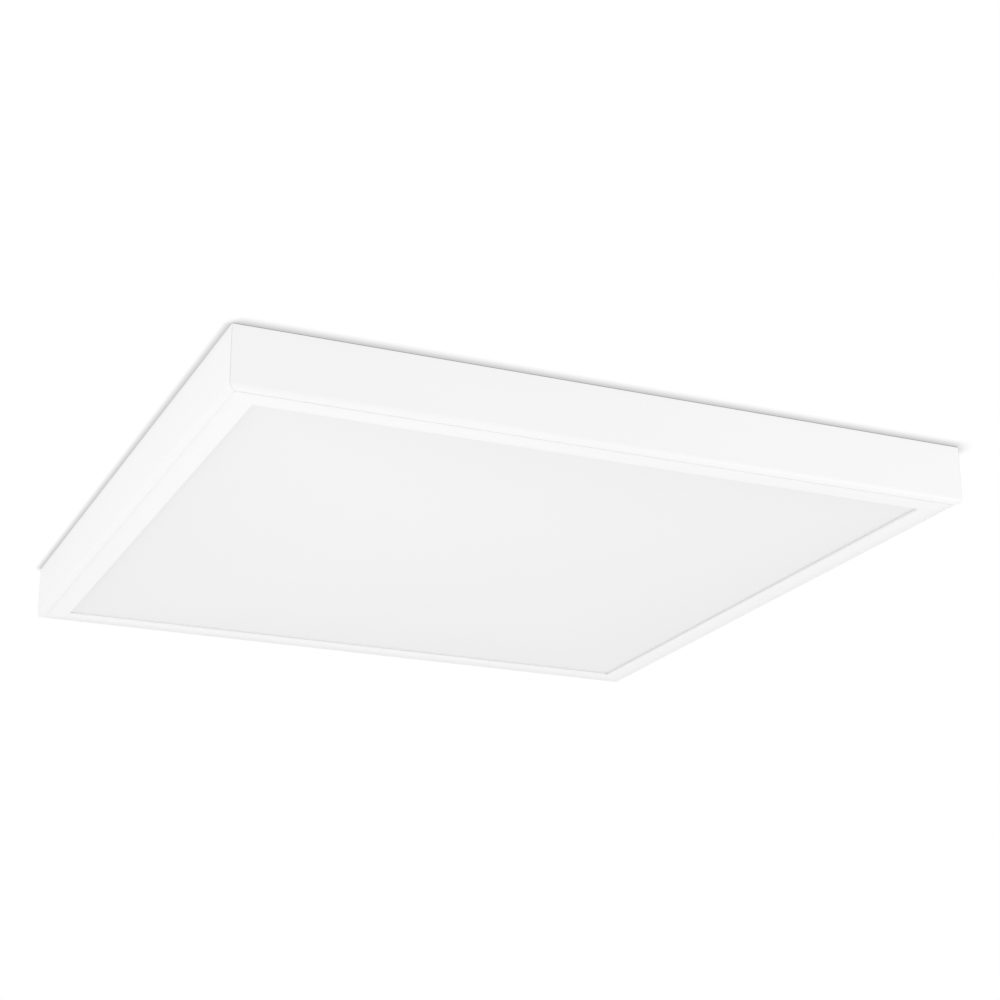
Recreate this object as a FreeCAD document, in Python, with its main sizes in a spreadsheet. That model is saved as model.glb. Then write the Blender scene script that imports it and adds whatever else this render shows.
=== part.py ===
"""Flush mount ceiling light: a square edge-lit LED panel carried in a mitred aluminium surface frame.

Millimetres, +Z up. The origin is the centre of the ceiling plane, so the light hangs below z = 0.
The removable end rail is the -Y side. The panel slides out that way on the tongues of the side rails.
"""
import FreeCAD, Part
import math
import os
import types

import Sketcher

Vector = FreeCAD.Vector

SIZES = {
    # Surface frame: four mitred lengths of one aluminium extrusion.
    "frame_height": 48.0,
    "rail_wall": 1.6,
    "nose_width": 5.2,
    "nose_radius": 5.0,
    "nose_inner_radius": 1.0,
    "tongue_level": 3.2,
    "tongue_thickness": 1.6,
    "tongue_reach": 3.0,
    "ceiling_flange": 18.0,
    "hook_drop": 3.5,
    "hook_wall": 1.3,
    # Running gaps between the frame and the panel, and the joint at the removable rail.
    "side_gap": 0.1,
    "back_gap": 0.1,
    "end_gap": 1.0,
    "mitre_gap": 0.2,
    # Corner brackets and the grub screws that lock them in the rails.
    "bracket_thickness": 2.0,
    "bracket_height": 18.0,
    "bracket_leg": 36.0,
    "bracket_fit": 0.15,
    "bracket_bend": 2.5,
    "grub_radius": 2.0,
    "grub_length": 4.0,
    "grub_place": 26.0,
    "hex_radius": 1.15,
    "hex_depth": 2.0,
    "screw_fit": 0.05,
    # Ceiling screw holes in the side rails.
    "ceiling_hole_radius": 2.5,
    "ceiling_hole_inset": 11.0,
    "ceiling_hole_spacing": 400.0,
    # LED panel frame: a second, smaller extrusion.
    "panel_side": 595.0,
    "panel_height": 11.0,
    "face_width": 19.0,
    "lip_thickness": 2.3,
    "groove_fit": 0.3,
    "panel_wall": 1.2,
    "inner_wall": 6.6,
    "key_leg": 30.0,
    "key_fit": 0.1,
    # Optical stack inside the panel frame.
    "diffuser_thickness": 1.5,
    "guide_thickness": 3.0,
    "film_thickness": 0.3,
    "stack_gap": 0.6,
    "foam_gap": 1.5,
    "strip_thickness": 1.0,
    "strip_height": 6.0,
    "strip_end_gap": 6.0,
    "chip_thickness": 0.8,
    "chip_width": 3.5,
    "chip_height": 2.8,
    "chip_pitch": 18.0,
    "chip_gap": 0.5,
    # Steel back cover and its screws.
    "cover_sheet": 0.6,
    "cover_inset": 0.8,
    "rib_inset": 46.0,
    "rib_width": 9.0,
    "rib_rise": 1.4,
    "cover_screw_pitch": 330.0,
    "cover_screw_radius": 1.25,
    "cover_screw_length": 4.4,
    "cover_head_radius": 2.4,
    "cover_head_height": 1.4,
    # Driver: a moulded base and lid with the circuit board between them.
    "driver_inset": 107.5,
    "driver_length": 150.0,
    "driver_width": 46.0,
    "driver_base_height": 12.0,
    "driver_lid_height": 11.0,
    "driver_wall": 1.8,
    "driver_corner": 4.0,
    "ear_length": 10.0,
    "ear_width": 15.0,
    "ear_offset": 13.5,
    "ear_thickness": 2.5,
    "ear_screw_radius": 1.5,
    "ear_screw_length": 4.2,
    "ear_head_radius": 2.9,
    "ear_head_height": 2.0,
    "boss_side": 6.4,
    "boss_inset": 5.0,
    "lid_screw_radius": 1.3,
    "lid_screw_length": 15.0,
    "lid_head_radius": 2.4,
    "lid_head_height": 2.0,
    "lid_head_sink": 2.6,
    "vent_width": 2.0,
    "vent_length": 24.0,
    "vent_pitch": 6.0,
    "vent_span": 42.0,
    "board_clamp_gap": 3.7,
    "board_lead_gap": 14.2,
    "board_side_gap": 1.7,
    "board_thickness": 1.6,
    "post_side": 4.6,
    "post_height": 5.0,
    "post_inset": 8.0,
    "core_length": 24.0,
    "core_width": 20.0,
    "core_height": 5.0,
    "core_place": 8.0,
    "winding_radius": 8.5,
    "winding_height": 13.0,
    "can_radius": 5.0,
    "can_height": 13.0,
    "can_place": 22.0,
    "can_spacing": 16.0,
    "terminal_inset": 5.0,
    "terminal_length": 10.0,
    "terminal_width": 24.0,
    "terminal_height": 11.0,
    "terminal_pitch": 8.0,
    "terminal_hole": 4.0,
    "inlet_width": 9.0,
    "inlet_height": 7.5,
    "clamp_width": 7.0,
    "clamp_span": 24.0,
    "clamp_thickness": 3.4,
    "clamp_level": 8.0,
    "clamp_screw_radius": 1.2,
    "clamp_screw_length": 9.0,
    "clamp_head_radius": 2.2,
    "clamp_head_height": 1.4,
    # Low-voltage lead from the driver to the panel, with its connector pair, clips and grommet.
    "lead_radius": 2.2,
    "lead_level": 5.6,
    "lead_grid": 10.0,
    "bush_radius": 3.0,
    "bush_flange": 0.7,
    "bush_nose": 6.0,
    "plug_radius": 5.2,
    "plug_length": 24.0,
    "relief_length": 10.0,
    "relief_wall": 1.0,
    "relief_rib": 0.8,
    "relief_rib_width": 1.6,
    "grommet_radius": 8.0,
    "grommet_neck_radius": 5.0,
    "grommet_neck_depth": 1.4,
    "grommet_height": 9.0,
    "clip_wall": 1.4,
    "clip_foot": 5.0,
    "clip_length": 8.0,
    "lead_fit": 0.05,
}

# Flat sides of the small round things that repeat.
LEAD_SIDES = 10
HEAD_SIDES = 12
SHANK_SIDES = 6

# Radius of the rib's shoulders as a share of its rise.
RIB_SHOULDER = 0.85

# Points of the two leads seen from above, in steps of lead_grid from the middle of the driver's
# outlet end. They are chosen by hand. Each lead's last point lies in the tail of its connector.
DRIVER_LEAD_STEPS = [(-1.4, 0.0), (2.9, 0.0), (5.9, -0.5), (8.0, -2.5), (8.5, -5.2), (8.5, -7.5)]
PANEL_LEAD_STEPS = [(1.9, -22.0), (3.7, -22.0), (6.1, -21.4), (8.0, -19.4), (8.5, -16.6), (8.5, -14.3)]


class Size:
    """A length that carries its value and the spreadsheet formula it comes from."""

    def __init__(self, value, formula=None):
        self.value = value
        self.bound = formula is not None
        self.formula = formula or repr(float(value))

    def _join(self, sign, other, value):
        return Size(value, f"({self.formula} {sign} {other.formula})")

    def __add__(self, other):
        other = as_size(other)
        return self._join("+", other, self.value + other.value)

    def __sub__(self, other):
        other = as_size(other)
        return self._join("-", other, self.value - other.value)

    def __mul__(self, other):
        other = as_size(other)
        return self._join("*", other, self.value * other.value)

    def __truediv__(self, other):
        other = as_size(other)
        return self._join("/", other, self.value / other.value)

    def __radd__(self, other):
        return as_size(other) + self

    def __rsub__(self, other):
        return as_size(other) - self

    def __rmul__(self, other):
        return as_size(other) * self

    def __neg__(self):
        return as_size(0.0) - self


def as_size(number):
    return number if isinstance(number, Size) else Size(number)


doc = FreeCAD.newDocument("ceiling_light")
sheet = doc.addObject("Spreadsheet::Sheet", "sizes")
for row, (alias, number) in enumerate(SIZES.items(), start=1):
    sheet.set(f"A{row}", alias)
    sheet.set(f"B{row}", str(number))
    sheet.setAlias(f"B{row}", alias)
doc.recompute()
s = types.SimpleNamespace(**{alias: Size(number, f"sizes.{alias}") for alias, number in SIZES.items()})

# Sizes worked out from the ones above.
outer_x = s.panel_side + 2 * (s.side_gap + s.nose_width)
outer_y = s.panel_side + s.back_gap + s.end_gap + 2 * s.nose_width
panel_y = (s.end_gap - s.back_gap) / 2
panel_z = -s.frame_height
tongue_low = s.tongue_level - s.frame_height
tongue_top = tongue_low + s.tongue_thickness
channel_out = s.rail_wall + s.bracket_thickness + 2 * s.bracket_fit
hook_out = channel_out + s.hook_wall
channel_low = -(s.rail_wall + s.bracket_height + 2 * s.bracket_fit)
bracket_middle = -(s.rail_wall + s.bracket_fit + s.bracket_height / 2)
half_panel = s.panel_side / 2
groove_low = s.tongue_level - s.groove_fit
groove_top = s.tongue_level + s.tongue_thickness + s.groove_fit
groove_depth = s.tongue_reach + s.groove_fit
key_low = groove_top + s.panel_wall
key_top = s.panel_height - s.panel_wall
key_out = s.inner_wall - s.panel_wall
cover_top = s.panel_height + s.cover_sheet
cover_screw_line = (s.panel_wall + key_out) / 2
strip_out = s.inner_wall + s.strip_thickness + s.chip_thickness + s.chip_gap
diffuser_top = s.lip_thickness + s.diffuser_thickness
guide_top = diffuser_top + s.guide_thickness
film_top = guide_top + s.film_thickness
driver_y = half_panel - s.driver_inset
driver_top = s.driver_base_height + s.driver_lid_height
boss_x = s.driver_length / 2 - s.boss_inset
boss_y = s.driver_width / 2 - s.boss_inset
ear_screw_x = (s.driver_length + s.ear_length) / 2
board_top = s.post_height + s.board_thickness
clamp_x = s.driver_wall + s.clamp_width - s.driver_length / 2
clamp_screw_y = (s.clamp_span - s.clamp_width) / 2
board_left = clamp_x + s.clamp_width / 2 + s.board_clamp_gap
board_right = s.driver_length / 2 - s.driver_wall - s.board_lead_gap
board_middle = (board_left + board_right) / 2
board_y = s.driver_width / 2 - s.driver_wall - s.board_side_gap
driver_lead_points, panel_lead_points = (
    [(s.driver_length / 2 + x * s.lead_grid, driver_y + y * s.lead_grid) for x, y in steps]
    for steps in (DRIVER_LEAD_STEPS, PANEL_LEAD_STEPS))
grommet_x = panel_lead_points[0][0] - s.grommet_radius / 2
grommet_y = panel_lead_points[0][1]

# Centres of the driver's screws, in its own frame. The lid's and the ears' screws lie on opposite diagonals.
lid_screw_places = [(-boss_x, -boss_y), (boss_x, boss_y)]
ear_screw_places = [(-ear_screw_x, s.ear_offset), (ear_screw_x, -s.ear_offset)]
clamp_screw_places = [(clamp_x, -clamp_screw_y), (clamp_x, clamp_screw_y)]

parts = {}


def keep(item, name):
    """Name a finished sub-part, which also names its file."""
    item.Label = name
    parts[name] = item
    return item


def bind(item, path, size):
    item.setExpression(path, as_size(size).formula)


def place(item, x, y, z):
    for axis, size in (("x", x), ("y", y), ("z", z)):
        bind(item, f"Placement.Base.{axis}", size)


def new_body(name, x=0.0, y=0.0, z=0.0):
    """A body placed by formulas, which may hold several separate solids."""
    body = doc.addObject("PartDesign::Body", name)
    body.AllowCompound = True
    place(body, x, y, z)
    return keep(body, name)


def new_panel_body(name):
    """A body drawn in the panel's own frame: centred, with z = 0 at the panel's lower face."""
    return new_body(name, 0.0, panel_y, panel_z)


def new_driver_body(name):
    """A body drawn in the driver's own frame: centred, standing on the back cover."""
    return new_body(name, 0.0, panel_y + driver_y, panel_z + cover_top)


def origin_item(body, role):
    return next(item for item in body.Origin.OriginFeatures if item.Role == role)


class Drawing:
    """A sketch on one of a body's origin planes, with every point dimensioned from its origin."""

    def __init__(self, body, role, lift=0.0):
        self.sketch = body.newObject("Sketcher::SketchObject", f"{body.Name}_sketch")
        self.sketch.AttachmentSupport = [(origin_item(body, role), "")]
        self.sketch.MapMode = "FlatFace"
        bind(self.sketch, "AttachmentOffset.Base.z", lift)
        self.lines = []
        self.guides = []
        self.dimensions = []
        self.formulas = []

    def dimension(self, kind, size, *ends):
        size = as_size(size)
        if size.bound:
            self.formulas.append((len(self.dimensions), size.formula))
        self.dimensions.append(Sketcher.Constraint(kind, *ends, size.value))

    def pin(self, edge, point, x, y):
        self.dimension("DistanceX", x, -1, 1, edge, point)
        self.dimension("DistanceY", y, -1, 1, edge, point)

    def polygon(self, corners):
        first = len(self.lines)
        points = [Vector(as_size(x).value, as_size(y).value, 0.0) for x, y in corners]
        for start, end in zip(points, points[1:] + points[:1]):
            self.lines.append(Part.LineSegment(start, end))
        for step, (x, y) in enumerate(corners):
            following = first + (step + 1) % len(corners)
            self.dimensions.append(Sketcher.Constraint("Coincident", first + step, 2, following, 1))
            self.pin(first + step, 1, x, y)
        return self

    def rectangle(self, left, right, low, high):
        return self.polygon([(left, low), (right, low), (right, high), (left, high)])

    def square(self, x, y, side):
        return self.rectangle(x - side / 2, x + side / 2, y - side / 2, y + side / 2)

    def ring(self, x, y, radius, sides):
        """A regular outline whose corners lie on a circle of construction."""
        first = len(self.lines)
        guide = first + sides
        centre = Vector(as_size(x).value, as_size(y).value, 0.0)
        reach = as_size(radius).value
        turns = [2 * math.pi * step / sides for step in range(sides)]
        corners = [centre + Vector(math.cos(turn) * reach, math.sin(turn) * reach, 0.0) for turn in turns]
        for start, end in zip(corners, corners[1:] + corners[:1]):
            self.lines.append(Part.LineSegment(start, end))
        self.lines.append(Part.Circle(centre, Vector(0, 0, 1), reach))
        self.guides.append(guide)
        for step in range(sides):
            following = first + (step + 1) % sides
            self.dimensions.append(Sketcher.Constraint("Coincident", first + step, 2, following, 1))
            self.dimensions.append(Sketcher.Constraint("PointOnObject", first + step, 1, guide))
            if step:
                self.dimensions.append(Sketcher.Constraint("Equal", first, first + step))
        self.dimension("DistanceY", 0.0, guide, 3, first, 1)
        self.pin(guide, 3, x, y)
        self.dimension("Radius", radius, guide)
        return self

    def screw_hole(self, x, y, screw_radius):
        return self.ring(x, y, screw_radius + s.screw_fit, HEAD_SIDES)

    def circle(self, x, y, radius):
        edge = len(self.lines)
        centre = Vector(as_size(x).value, as_size(y).value, 0.0)
        self.lines.append(Part.Circle(centre, Vector(0, 0, 1), as_size(radius).value))
        self.pin(edge, 3, x, y)
        self.dimension("Radius", radius, edge)
        return self

    def finish(self):
        """Add everything to the sketch in one step, and bind its dimensions."""
        self.sketch.addGeometry(self.lines, False)
        for index in self.guides:
            self.sketch.setConstruction(index, True)
        self.sketch.addConstraint(self.dimensions)
        for index, formula in self.formulas:
            self.sketch.setExpression(f"Constraints[{index}]", formula)
        return self.sketch


def pad(body, drawing, length, symmetric=False, downwards=False):
    feature = body.newObject("PartDesign::Pad", f"{body.Name}_pad")
    feature.Profile = drawing.finish()
    feature.SideType = "Symmetric" if symmetric else "One side"
    feature.Reversed = downwards
    bind(feature, "Length", length)
    return feature


def pocket(body, drawing, length=None, along_normal=False):
    """Cut a drawing into the body, right through both ways where no length is given."""
    feature = body.newObject("PartDesign::Pocket", f"{body.Name}_pocket")
    feature.Profile = drawing.finish()
    feature.Reversed = along_normal
    if length is None:
        feature.Type = "ThroughAll"
        feature.SideType = "Symmetric"
    else:
        bind(feature, "Length", length)
    return feature


def round_edges(body, points, radius):
    """Fillet the edges of the body's last feature that pass through the points."""
    doc.recompute()
    base = body.Tip
    names = []
    for number, edge in enumerate(base.Shape.Edges, start=1):
        if any(edge.distToShape(Part.Vertex(point))[0] < 1e-4 for point in points):
            names.append(f"Edge{number}")
    feature = body.newObject("PartDesign::Fillet", f"{body.Name}_fillet")
    feature.Base = (base, names)
    bind(feature, "Radius", radius)
    return feature


def angle_plan(sign_x, sign_y, corner_x, corner_y, leg, thickness):
    """Corners of an L in plan, whose outer corner lies at the given distances from the centre."""
    near = [(0.0, 0.0), (0.0, leg), (thickness, leg), (thickness, thickness), (leg, thickness), (leg, 0.0)]
    return [(sign_x * (corner_x - dx), sign_y * (corner_y - dy)) for dx, dy in near]


def extrude_member(body, section, side, half_x, half_y, long_gap=None):
    """Pad a section along one side of a rectangle and saw both ends to a mitre.

    The section is measured across from the rectangle's edge and up. A long_gap shortens the member
    at both ends, which opens the joint.
    """
    lengthwise = side in ("left", "right")
    sign = -1.0 if side in ("left", "end") else 1.0
    half_across, half_along = (half_x, half_y) if lengthwise else (half_y, half_x)
    profile = Drawing(body, "XZ_Plane" if lengthwise else "YZ_Plane")
    for loop in section:
        profile.polygon([(sign * (half_across - across), up) for across, up in loop])
    pad(body, profile, 2 * half_along, symmetric=True)
    reach = s.ceiling_flange + s.face_width
    plan = Drawing(body, "XY_Plane")
    for end in (-1.0, 1.0):
        wedge = [(half_across - reach, half_along), (half_across, half_along)]
        if long_gap is None:
            wedge.append((half_across - reach, half_along - reach))
        else:
            wedge.append((half_across, half_along - long_gap))
            wedge.append((half_across - reach, half_along - long_gap - reach))
        corners = [(sign * across, end * along) for across, along in wedge]
        plan.polygon(corners if lengthwise else [(x, y) for y, x in corners])
    pocket(body, plan)


def rail_section():
    """Section of the surface frame's rail: across from the outer face, and height below the ceiling."""
    nose_reach = s.nose_width + s.tongue_reach
    return [[
        (0.0, -s.frame_height), (0.0, 0.0), (s.ceiling_flange, 0.0), (s.ceiling_flange, -s.rail_wall),
        (hook_out, -s.rail_wall), (hook_out, -s.rail_wall - s.hook_drop),
        (channel_out, -s.rail_wall - s.hook_drop), (channel_out, -s.rail_wall),
        (s.rail_wall, -s.rail_wall), (s.rail_wall, channel_low),
        (channel_out, channel_low), (channel_out, channel_low + s.hook_drop),
        (hook_out, channel_low + s.hook_drop), (hook_out, channel_low - s.hook_wall),
        (s.rail_wall, channel_low - s.hook_wall), (s.rail_wall, tongue_top),
        (nose_reach, tongue_top), (nose_reach, tongue_low),
        (s.nose_width, tongue_low), (s.nose_width, -s.frame_height),
    ]]


def rail(name, side, long_gap=None):
    """One rail of the surface frame, with its rounded nose and, in the side rails, the ceiling holes."""
    body = new_body(name)
    lengthwise = side in ("left", "right")
    extrude_member(body, rail_section(), side, outer_x / 2, outer_y / 2, long_gap)
    sign = -1.0 if side in ("left", "end") else 1.0
    half_across = (outer_x if lengthwise else outer_y).value / 2

    def on_rail(across, up):
        where = sign * (half_across - across)
        return Vector(where, 0.0, up) if lengthwise else Vector(0.0, where, up)

    round_edges(body, [on_rail(0.0, -s.frame_height.value)], s.nose_radius)
    round_edges(body, [on_rail(s.rail_wall.value, tongue_top.value)], s.nose_inner_radius)
    if lengthwise:
        holes = Drawing(body, "XY_Plane")
        for end in (-0.5, 0.5):
            holes.circle(sign * (outer_x / 2 - s.ceiling_hole_inset), end * s.ceiling_hole_spacing,
                         s.ceiling_hole_radius)
        pocket(body, holes, 2 * s.rail_wall)
    return body


def corner_bracket(name, sign_x, sign_y):
    """A bent steel angle that slides into the channels of two rails, with a tapped hole in each leg."""
    body = new_body(name)
    corner_x = outer_x / 2 - s.rail_wall - s.bracket_fit
    corner_y = outer_y / 2 - s.rail_wall - s.bracket_fit
    plan = Drawing(body, "XY_Plane", -(s.rail_wall + s.bracket_fit))
    plan.polygon(angle_plan(sign_x, sign_y, corner_x, corner_y, s.bracket_leg, s.bracket_thickness))
    pad(body, plan, s.bracket_height, downwards=True)
    bend = Vector(sign_x * corner_x.value, sign_y * corner_y.value, bracket_middle.value)
    round_edges(body, [bend], s.bracket_bend)
    along_y = Drawing(body, "YZ_Plane")
    along_y.screw_hole(sign_y * (corner_y - s.grub_place), bracket_middle, s.grub_radius)
    pocket(body, along_y)
    along_x = Drawing(body, "XZ_Plane")
    along_x.screw_hole(sign_x * (corner_x - s.grub_place), bracket_middle, s.grub_radius)
    pocket(body, along_x)
    return body


def grub_screw(name, x, y, turn):
    """A socket grub screw: its tip bears on the rail wall at (x, y) and it points along the turn."""
    shank = doc.addObject("Part::Prism", f"{name}_shank")
    shank.Polygon = HEAD_SIDES
    bind(shank, "Circumradius", s.grub_radius)
    bind(shank, "Height", s.grub_length)
    socket = doc.addObject("Part::Prism", f"{name}_socket")
    socket.Polygon = 6
    bind(socket, "Circumradius", s.hex_radius)
    bind(socket, "Height", s.hex_depth)
    bind(socket, "Placement.Base.z", s.grub_length - s.hex_depth)
    screw = doc.addObject("Part::Cut", name)
    screw.Base = shank
    screw.Tool = socket
    screw.Placement = FreeCAD.Placement(Vector(), turn)
    place(screw, x, y, bracket_middle)
    return screw


def grub_screws(name, sign_y):
    """The four grub screws of the two corner brackets at one end of the frame."""
    wall_x = outer_x / 2 - s.rail_wall
    wall_y = outer_y / 2 - s.rail_wall
    screws = []
    for sign_x in (-1.0, 1.0):
        inward_x = FreeCAD.Rotation(Vector(0, 0, 1), Vector(-sign_x, 0, 0))
        inward_y = FreeCAD.Rotation(Vector(0, 0, 1), Vector(0, -sign_y, 0))
        screws.append(grub_screw(f"{name}_{len(screws)}", sign_x * wall_x,
                                 sign_y * (wall_y - s.bracket_fit - s.grub_place), inward_x))
        screws.append(grub_screw(f"{name}_{len(screws)}", sign_x * (wall_x - s.bracket_fit - s.grub_place),
                                 sign_y * wall_y, inward_y))
    group = doc.addObject("Part::Compound", name)
    group.Links = screws
    return keep(group, name)


def surface_frame():
    """The parts that are screwed to the ceiling and stay there."""
    rail("left_side_rail", "left")
    rail("right_side_rail", "right")
    rail("back_rail", "back")
    corner_bracket("back_left_corner_bracket", -1.0, 1.0)
    corner_bracket("back_right_corner_bracket", 1.0, 1.0)
    grub_screws("back_corner_grub_screws", 1.0)


def end_rail_set():
    """The removable rail with the two brackets that it draws out of the side rails."""
    rail("end_rail", "end", s.mitre_gap)
    corner_bracket("front_left_corner_bracket", -1.0, -1.0)
    corner_bracket("front_right_corner_bracket", 1.0, -1.0)
    grub_screws("front_corner_grub_screws", -1.0)


def panel_member(name, side):
    """One side of the panel's own frame: face lip, guide groove, key channel and cover screw holes."""
    body = new_panel_body(name)
    outline = [
        (0.0, 0.0), (s.face_width, 0.0), (s.face_width, s.lip_thickness), (s.inner_wall, s.lip_thickness),
        (s.inner_wall, s.panel_height), (0.0, s.panel_height), (0.0, groove_top),
        (groove_depth, groove_top), (groove_depth, groove_low), (0.0, groove_low),
    ]
    channel = [(s.panel_wall, key_low), (key_out, key_low), (key_out, key_top), (s.panel_wall, key_top)]
    extrude_member(body, [outline, channel], side, half_panel, half_panel)
    holes = Drawing(body, "XY_Plane", s.panel_height)
    for x, y in rim_screw_places(side):
        holes.screw_hole(x, y, s.cover_screw_radius)
    pocket(body, holes, 2 * s.panel_wall)
    return body


def rim_screw_places(side):
    """Centres of the cover screws along one side of the panel."""
    sign = -1.0 if side in ("left", "end") else 1.0
    across = sign * (half_panel - cover_screw_line)
    places = [(across, step * s.cover_screw_pitch) for step in (-0.5, 0.5)]
    return places if side in ("left", "right") else [(x, y) for y, x in places]


def corner_key(name, sign_x, sign_y):
    """A die-cast angle pressed into the channels of two panel members."""
    body = new_panel_body(name)
    corner = half_panel - s.panel_wall - s.key_fit
    width = key_out - s.panel_wall - 2 * s.key_fit
    plan = Drawing(body, "XY_Plane", key_low + s.key_fit)
    plan.polygon(angle_plan(sign_x, sign_y, corner, corner, s.key_leg, width))
    pad(body, plan, key_top - key_low - 2 * s.key_fit)
    return body


def sheet_plate(name, low, thickness):
    """One flat layer of the optical stack, cut clear of the LED strips."""
    body = new_panel_body(name)
    outline = Drawing(body, "XY_Plane", low)
    half_x = half_panel - strip_out
    half_y = half_panel - s.inner_wall - s.stack_gap
    outline.rectangle(-half_x, half_x, -half_y, half_y)
    pad(body, outline, thickness)
    return body


def led_strip(side, sign):
    """A strip of LED chips on a narrow board that stands against the panel member's inner wall."""
    board = new_panel_body(f"led_strip_{side}")
    wall = half_panel - s.inner_wall
    plan = Drawing(board, "XY_Plane", s.lip_thickness)
    board_half = half_panel - s.inner_wall - s.strip_end_gap
    edges = sorted((sign * wall, sign * (wall - s.strip_thickness)), key=lambda edge: edge.value)
    plan.rectangle(edges[0], edges[1], -board_half, board_half)
    pad(board, plan, s.strip_height)
    chips = new_panel_body(f"led_chips_{side}")
    gaps = int((2 * board_half.value - s.chip_width.value) / s.chip_pitch.value)
    first = -gaps * s.chip_pitch / 2
    chip_plan = Drawing(chips, "XY_Plane", diffuser_top + (s.guide_thickness - s.chip_height) / 2)
    face = wall - s.strip_thickness
    edges = sorted((sign * face, sign * (face - s.chip_thickness)), key=lambda edge: edge.value)
    chip_plan.rectangle(edges[0], edges[1], first - s.chip_width / 2, first + s.chip_width / 2)
    chip = pad(chips, chip_plan, s.chip_height)
    doc.recompute()
    row_of_chips = chips.newObject("PartDesign::LinearPattern", f"{chips.Name}_pattern")
    row_of_chips.Originals = [chip]
    row_of_chips.Direction = (origin_item(chips, "Y_Axis"), [""])
    bind(row_of_chips, "Length", gaps * s.chip_pitch)
    row_of_chips.Occurrences = gaps + 1
    chips.Tip = row_of_chips


def foam_backing():
    """Soft sheet that presses the stack onto the lip, holed for the driver screws and the lead."""
    body = sheet_plate("foam_backing", film_top, s.panel_height - film_top)
    holes = Drawing(body, "XY_Plane", s.panel_height)
    for x, y in ear_screw_places:
        holes.ring(x, y + driver_y, s.ear_screw_radius + s.foam_gap, HEAD_SIDES)
    holes.circle(grommet_x, grommet_y, s.grommet_neck_radius + s.foam_gap)
    pocket(body, holes)
    return body


def square_band(drawing, middle, width):
    """Draw a square ring of even width, and return its two half sides."""
    edges = (middle + width / 2, middle - width / 2)
    for edge in edges:
        drawing.rectangle(-edge, edge, -edge, edge)
    return edges


def band_points(edges, level):
    """The middle of each side of a square ring at one level."""
    level = as_size(level).value
    return [Vector(x, y, level) for edge in edges
            for x, y in ((edge.value, 0.0), (-edge.value, 0.0), (0.0, edge.value), (0.0, -edge.value))]


def back_cover():
    """Pressed steel sheet with a raised stiffening rib, screwed down round its rim."""
    body = new_panel_body("back_cover")
    half = half_panel - s.cover_inset
    shoulder = RIB_SHOULDER * s.rib_rise
    blank = Drawing(body, "XY_Plane", s.panel_height)
    blank.rectangle(-half, half, -half, half)
    pad(body, blank, s.cover_sheet)
    rib = Drawing(body, "XY_Plane", s.panel_height)
    rib_edges = square_band(rib, half_panel - s.rib_inset, s.rib_width)
    pad(body, rib, s.cover_sheet + s.rib_rise)
    round_edges(body, band_points(rib_edges, cover_top + s.rib_rise), shoulder)
    trough = Drawing(body, "XY_Plane", s.panel_height)
    trough_edges = square_band(trough, half_panel - s.rib_inset, s.rib_width - 2 * s.cover_sheet)
    pocket(body, trough, s.rib_rise, along_normal=True)
    round_edges(body, band_points(trough_edges, s.panel_height + s.rib_rise), shoulder - s.cover_sheet)
    holes = Drawing(body, "XY_Plane", s.panel_height)
    for side in ("left", "right", "back", "end"):
        for x, y in rim_screw_places(side):
            holes.screw_hole(x, y, s.cover_screw_radius)
    for x, y in ear_screw_places:
        holes.screw_hole(x, y + driver_y, s.ear_screw_radius)
    holes.circle(grommet_x, grommet_y, s.grommet_neck_radius + s.screw_fit)
    pocket(body, holes)
    return body


def headed_screws(body, places, seat, radius, length, head_radius, head_height):
    """Identical screws whose heads seat at one level, each a plain solid of its own."""
    heads = Drawing(body, "XY_Plane", seat)
    shanks = Drawing(body, "XY_Plane", seat)
    for x, y in places:
        heads.ring(x, y, head_radius, HEAD_SIDES)
        shanks.ring(x, y, radius, SHANK_SIDES)
    pad(body, heads, head_height)
    pad(body, shanks, length, downwards=True)
    return body


def led_panel():
    """The panel that slides out, without its driver."""
    for side in ("left", "right", "back", "end"):
        panel_member(f"panel_frame_{'front' if side == 'end' else side}", side)
    for sign_y, end in ((-1.0, "front"), (1.0, "back")):
        for sign_x, side in ((-1.0, "left"), (1.0, "right")):
            corner_key(f"{end}_{side}_corner_key", sign_x, sign_y)
    sheet_plate("diffuser", s.lip_thickness, s.diffuser_thickness)
    sheet_plate("light_guide", diffuser_top, s.guide_thickness)
    sheet_plate("reflector_film", guide_top, s.film_thickness)
    led_strip("left", -1.0)
    led_strip("right", 1.0)
    foam_backing()
    back_cover()
    rim_places = [spot for side in ("left", "right", "back", "end") for spot in rim_screw_places(side)]
    headed_screws(new_panel_body("back_cover_screws"), rim_places, cover_top, s.cover_screw_radius,
                  s.cover_screw_length, s.cover_head_radius, s.cover_head_height)


def four(x, y):
    return [(sign_x * x, sign_y * y) for sign_x in (-1.0, 1.0) for sign_y in (-1.0, 1.0)]


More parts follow.
